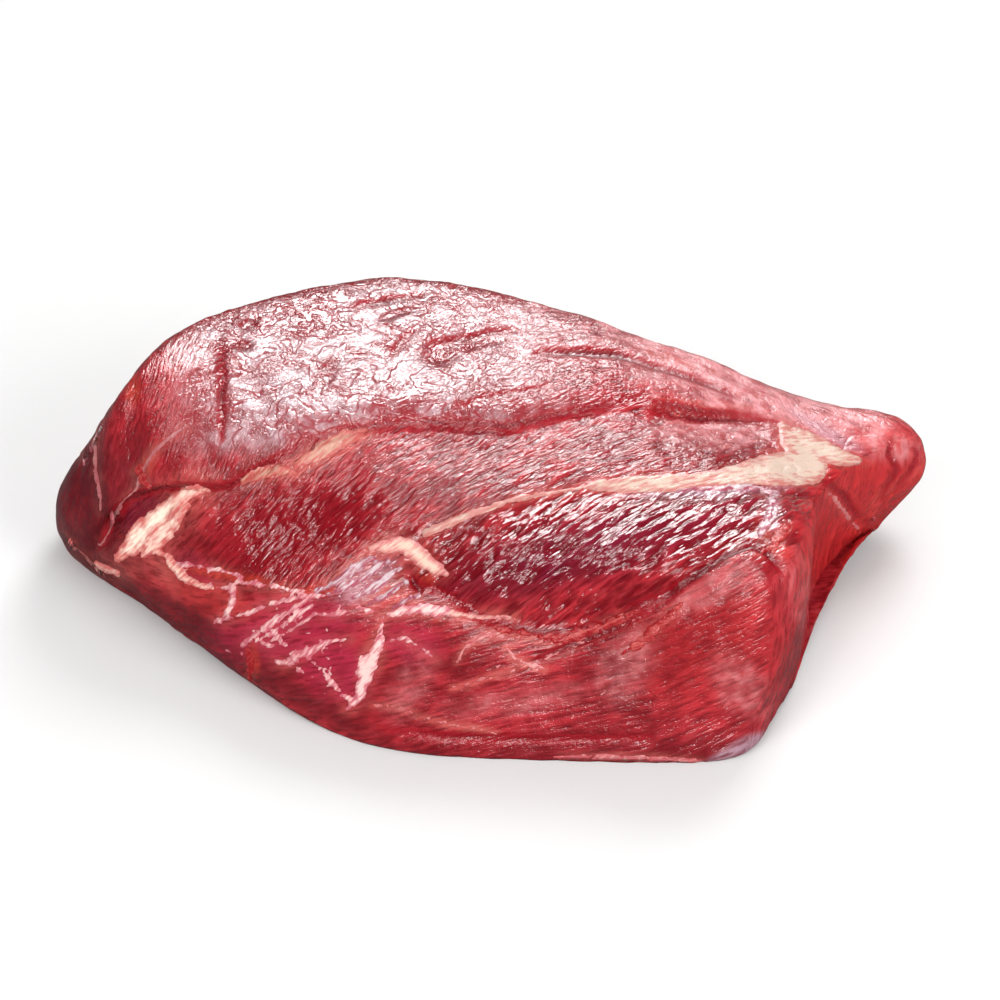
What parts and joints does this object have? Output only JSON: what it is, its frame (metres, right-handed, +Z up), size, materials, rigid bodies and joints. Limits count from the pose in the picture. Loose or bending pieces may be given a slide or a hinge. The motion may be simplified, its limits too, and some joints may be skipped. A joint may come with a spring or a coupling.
{
  "type": "raw beef brisket",
  "caption": "Trimmed boneless raw beef brisket, one solid piece of red muscle with fat seams, lying on its flat underside.",
  "frame": {"origin": "under the middle of the piece's bounding box, on the plane that it rests on", "axes": "+X along the length towards the cut, pointed end; +Y from the front to the back; +Z up"},
  "size_m": [0.2813, 0.1739, 0.079],
  "materials": {
    "meat": "gloss"
  },
  "bodies": {
    "root": {"brisket": "meat"}
  },
  "joints": []
}
